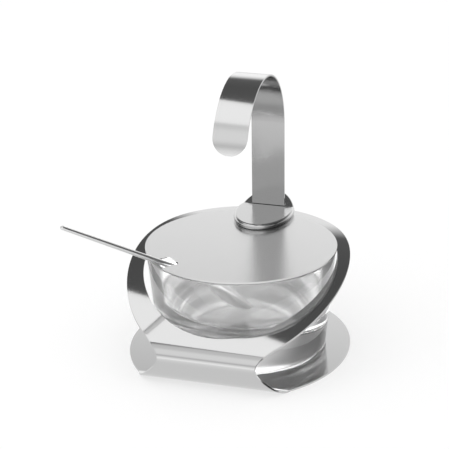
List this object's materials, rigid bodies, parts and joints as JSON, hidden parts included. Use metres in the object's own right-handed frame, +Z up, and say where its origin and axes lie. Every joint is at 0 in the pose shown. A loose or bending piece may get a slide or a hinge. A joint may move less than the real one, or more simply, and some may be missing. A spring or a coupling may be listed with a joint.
{
  "type": "parmesan pot",
  "caption": "Table pot for grated cheese: clear glass bowl in a bent steel stand with a hooked carrying handle, a tip-up lid with a thumb plate, and a spoon resting in the lid's notch.",
  "frame": {"origin": "on the underside of the base plate, below the axis that the lid and the bowl share", "axes": "+Z up, -Y towards the rolled front of the stand, +X to the right of someone facing that front"},
  "size_m": [0.1329, 0.1414, 0.148],
  "materials": {
    "stand_sheet": "satin brushed stainless sheet",
    "foot_rivets": "satin stainless",
    "glass_bowl": "clear pressed glass",
    "carrying_handle": "satin stainless strap brushed along its length",
    "lid_disc": "satin brushed stainless",
    "thumb_plate": "brushed top with a polished rounded edge",
    "lid_rivets": "satin stainless",
    "spoon": "polished stainless"
  },
  "bodies": {
    "stand": {"stand_sheet": "stand_sheet", "foot_rivets": "foot_rivets", "glass_bowl": "glass_bowl", "carrying_handle": "carrying_handle"},
    "lid": {"lid_disc": "lid_disc", "thumb_plate": "thumb_plate", "lid_rivets": "lid_rivets"},
    "spoon": {"spoon": "spoon"}
  },
  "joints": [
    {"name": "lid_tilt", "type": "hinge", "parent": "stand", "child": "lid", "pos_m": [0, 0.0527, 0.061], "axis": [-1, 0, 0], "range_deg": [0, 30]},
    {"name": "spoon_slide", "type": "slide", "parent": "stand", "child": "spoon", "axis": [-0.6149, -0.6214, 0.4856], "range_m": [0, 0.012]}
  ]
}
